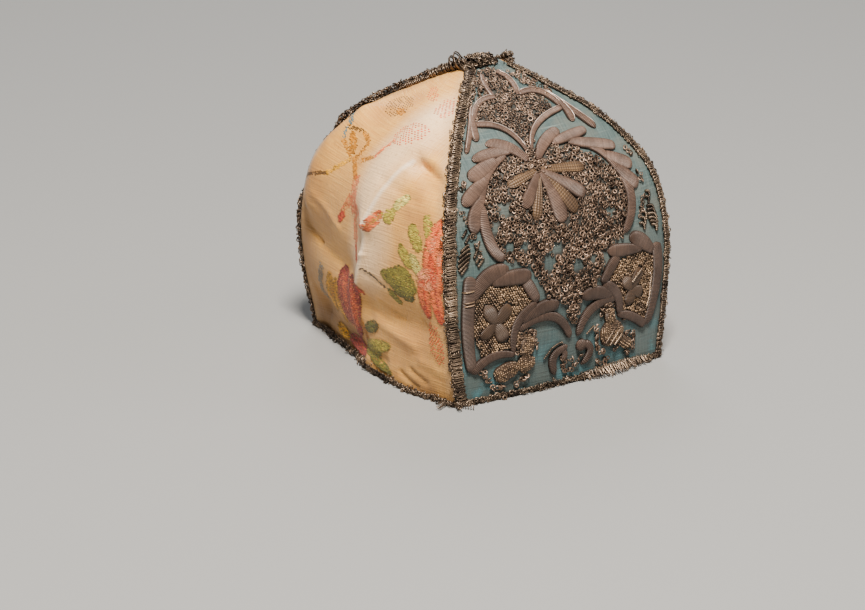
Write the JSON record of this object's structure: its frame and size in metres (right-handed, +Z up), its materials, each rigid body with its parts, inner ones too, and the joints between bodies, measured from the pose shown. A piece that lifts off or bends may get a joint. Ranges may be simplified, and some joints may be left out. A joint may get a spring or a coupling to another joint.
{
  "type": "baby bonnet",
  "caption": "Close baby bonnet of teal satin and cream brocade gores, with padded metal-thread embroidery on the teal and tarnished metal lace over the seams and rim",
  "frame": {"origin": "middle of the box round the cap, on the plane the rim stands on", "axes": "+Z up to the crown; the front embroidered gore faces -Y; the brocade gores face -X and +X"},
  "size_m": [0.1184, 0.117, 0.1141],
  "materials": {
    "teal_satin": "worn silk satin",
    "cream_brocade": "brocaded silk",
    "metal_lace": "tarnished metal lace",
    "silver_thread": "tarnished silver thread over padding",
    "gilt_thread": "gilt thread over padding"
  },
  "bodies": {
    "root": {"gore_front": "teal_satin", "gore_back": "teal_satin", "gore_left": "cream_brocade", "gore_right": "cream_brocade", "rim_lace_front": "metal_lace", "rim_lace_back": "metal_lace", "rim_lace_left": "metal_lace", "rim_lace_right": "metal_lace", "seam_lace_front_left": "metal_lace", "seam_lace_front_right": "metal_lace", "seam_lace_back_left": "metal_lace", "seam_lace_back_right": "metal_lace", "crown_lace": "metal_lace", "crown_tuft": "metal_lace", "crest_front_left": "silver_thread", "crest_front_right": "silver_thread", "crest_back_left": "silver_thread", "crest_back_right": "silver_thread", "fan_front": "silver_thread", "fan_back": "silver_thread", "wreath_front_left": "silver_thread", "wreath_front_right": "silver_thread", "wreath_back_left": "silver_thread", "wreath_back_right": "silver_thread", "scroll_front_left": "silver_thread", "scroll_front_right": "silver_thread", "scroll_back_left": "silver_thread", "scroll_back_right": "silver_thread", "curl_front_left": "silver_thread", "curl_front_right": "silver_thread", "curl_back_left": "silver_thread", "curl_back_right": "silver_thread", "flower_front_left": "gilt_thread", "flower_front_right": "gilt_thread", "flower_back_left": "gilt_thread", "flower_back_right": "gilt_thread", "bud_front_left": "gilt_thread", "bud_front_right": "gilt_thread", "bud_back_left": "gilt_thread", "bud_back_right": "gilt_thread"}
  },
  "joints": []
}
